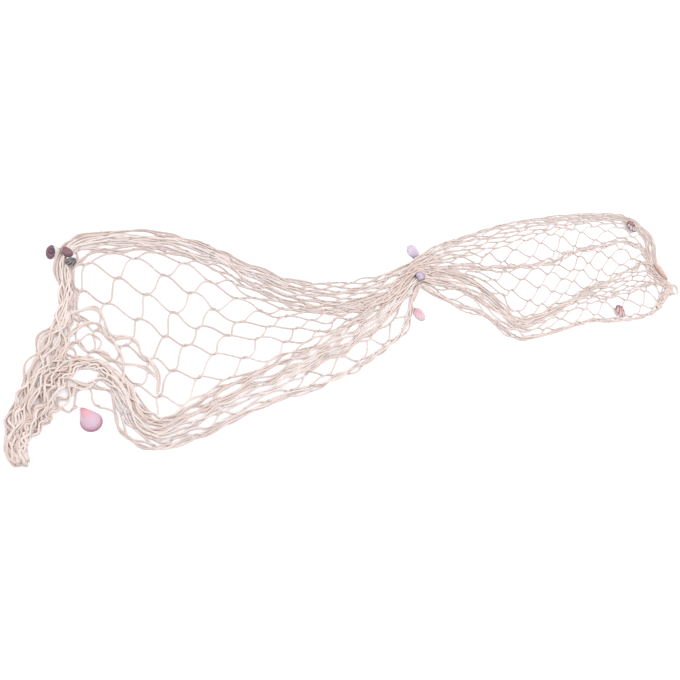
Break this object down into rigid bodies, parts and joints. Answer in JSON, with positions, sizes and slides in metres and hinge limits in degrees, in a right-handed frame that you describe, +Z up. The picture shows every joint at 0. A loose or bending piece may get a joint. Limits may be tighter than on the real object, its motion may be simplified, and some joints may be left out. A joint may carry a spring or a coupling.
{
  "type": "decorative fishing net",
  "caption": "Knotted cotton decorative fishing net with small sea shells, gathered at a waist and lying in two loose fans with a crumpled tail.",
  "frame": {"origin": "middle of the bounding box in plan, on the surface that the net lies on", "axes": "+X along the net from its crumpled tail to its narrow end, +Y across it towards the shell at the waist's far side, +Z up"},
  "size_m": [1.5154, 0.339, 0.021],
  "materials": {
    "cotton": "matte twisted cotton cord, natural cream",
    "pink_clam": "smooth, satin",
    "dark_purple_shell": "satin",
    "mauve_brown_shell": "satin",
    "black_striped_shell": "satin",
    "lavender_shell": "matte, ribbed",
    "white_lavender_shell": "matte, ribbed",
    "pink_scallop": "matte, ribbed",
    "red_brown_shell": "matte, ribbed",
    "striped_scallop": "matte, ribbed",
    "tan_shell": "satin"
  },
  "bodies": {
    "root": {"net": "cotton", "shell_clam": "pink_clam", "shell_corner_dark": "dark_purple_shell", "shell_corner_brown": "mauve_brown_shell", "shell_corner_striped": "black_striped_shell", "shell_waist_lavender": "lavender_shell", "shell_waist_white": "white_lavender_shell", "shell_waist_pink": "pink_scallop", "shell_right_red": "red_brown_shell", "shell_right_striped": "striped_scallop", "shell_end_tan": "tan_shell"}
  },
  "joints": []
}
